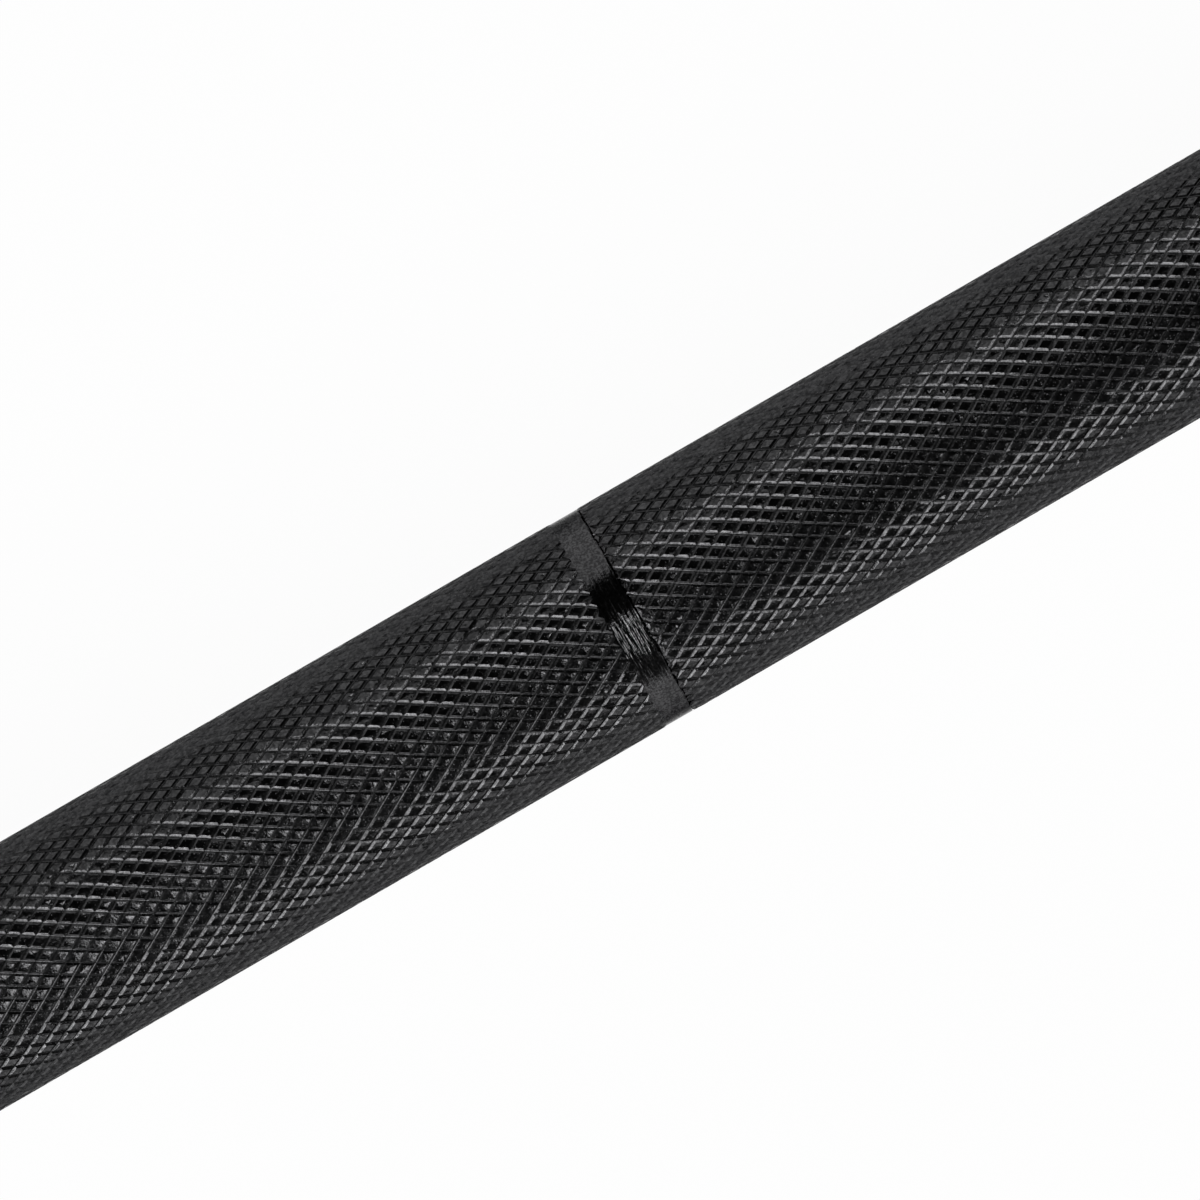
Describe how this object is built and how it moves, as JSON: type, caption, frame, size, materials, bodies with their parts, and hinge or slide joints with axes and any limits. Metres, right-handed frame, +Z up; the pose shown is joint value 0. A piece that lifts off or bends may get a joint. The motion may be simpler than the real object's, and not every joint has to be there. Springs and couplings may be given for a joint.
{
  "type": "olympic barbell",
  "caption": "Knurled black steel bar with smooth ring marks and a free-turning plate sleeve on each end, on bushings and needle bearings.",
  "frame": {"origin": "middle of the shaft, on its axis", "axes": "+X along the bar to the right-hand sleeve, +Z up, Y level across the bar"},
  "size_m": [2.2, 0.076, 0.076],
  "materials": {
    "shaft": "black finish on steel, knurled grips",
    "sleeve": "hard chrome, fine turned",
    "collar": "hard chrome, turned",
    "dust_seal": "moulded black rubber",
    "thrust_washer": "hardened and ground",
    "bushing": "machined bronze",
    "bearing_steel": "bearing steel, ground",
    "roller_cage": "pressed sheet steel",
    "retaining_ring": "phosphated spring steel",
    "end_cap": "black anodised, turned"
  },
  "bodies": {
    "shaft": {"shaft": "shaft", "right_shaft_retaining_ring": "retaining_ring", "left_shaft_retaining_ring": "retaining_ring"},
    "right_sleeve_assembly": {"right_sleeve": "sleeve", "right_collar": "collar", "right_dust_seal": "dust_seal", "right_inner_bushing": "bushing", "right_outer_bushing": "bushing", "right_bearing_cup": "bearing_steel", "right_end_cap": "end_cap", "right_cap_retaining_ring": "retaining_ring"},
    "right_roller_set": {"right_roller_cage": "roller_cage", "right_needle_rollers": "bearing_steel"},
    "right_inner_washer": {"right_inner_thrust_washer": "thrust_washer"},
    "right_outer_washer": {"right_outer_thrust_washer": "thrust_washer"},
    "left_sleeve_assembly": {"left_sleeve": "sleeve", "left_collar": "collar", "left_dust_seal": "dust_seal", "left_inner_bushing": "bushing", "left_outer_bushing": "bushing", "left_bearing_cup": "bearing_steel", "left_end_cap": "end_cap", "left_cap_retaining_ring": "retaining_ring"},
    "left_roller_set": {"left_roller_cage": "roller_cage", "left_needle_rollers": "bearing_steel"},
    "left_inner_washer": {"left_inner_thrust_washer": "thrust_washer"},
    "left_outer_washer": {"left_outer_thrust_washer": "thrust_washer"}
  },
  "joints": [
    {"name": "right_sleeve_spin", "type": "hinge", "parent": "shaft", "child": "right_sleeve_assembly", "pos_m": [0.87, 0, 0], "axis": [1, 0, 0], "continuous": true},
    {"name": "right_roller_orbit", "type": "hinge", "parent": "shaft", "child": "right_roller_set", "pos_m": [1.03795, 0, 0], "axis": [1, 0, 0], "continuous": true},
    {"name": "right_inner_washer_turn", "type": "hinge", "parent": "shaft", "child": "right_inner_washer", "pos_m": [0.6621, 0, 0], "axis": [1, 0, 0], "continuous": true},
    {"name": "right_outer_washer_turn", "type": "hinge", "parent": "shaft", "child": "right_outer_washer", "pos_m": [1.07605, 0, 0], "axis": [1, 0, 0], "continuous": true},
    {"name": "left_sleeve_spin", "type": "hinge", "parent": "shaft", "child": "left_sleeve_assembly", "pos_m": [-0.87, 0, 0], "axis": [1, 0, 0], "continuous": true},
    {"name": "left_roller_orbit", "type": "hinge", "parent": "shaft", "child": "left_roller_set", "pos_m": [-1.03795, 0, 0], "axis": [1, 0, 0], "continuous": true},
    {"name": "left_inner_washer_turn", "type": "hinge", "parent": "shaft", "child": "left_inner_washer", "pos_m": [-0.6621, 0, 0], "axis": [1, 0, 0], "continuous": true},
    {"name": "left_outer_washer_turn", "type": "hinge", "parent": "shaft", "child": "left_outer_washer", "pos_m": [-1.07605, 0, 0], "axis": [1, 0, 0], "continuous": true}
  ],
  "couplings": [
    {"joint": "right_roller_orbit", "follows": "right_sleeve_spin", "ratio": 0.5462},
    {"joint": "right_inner_washer_turn", "follows": "right_sleeve_spin", "ratio": 0.5},
    {"joint": "right_outer_washer_turn", "follows": "right_sleeve_spin", "ratio": 0.5},
    {"joint": "left_roller_orbit", "follows": "left_sleeve_spin", "ratio": 0.5462},
    {"joint": "left_inner_washer_turn", "follows": "left_sleeve_spin", "ratio": 0.5},
    {"joint": "left_outer_washer_turn", "follows": "left_sleeve_spin", "ratio": 0.5}
  ]
}
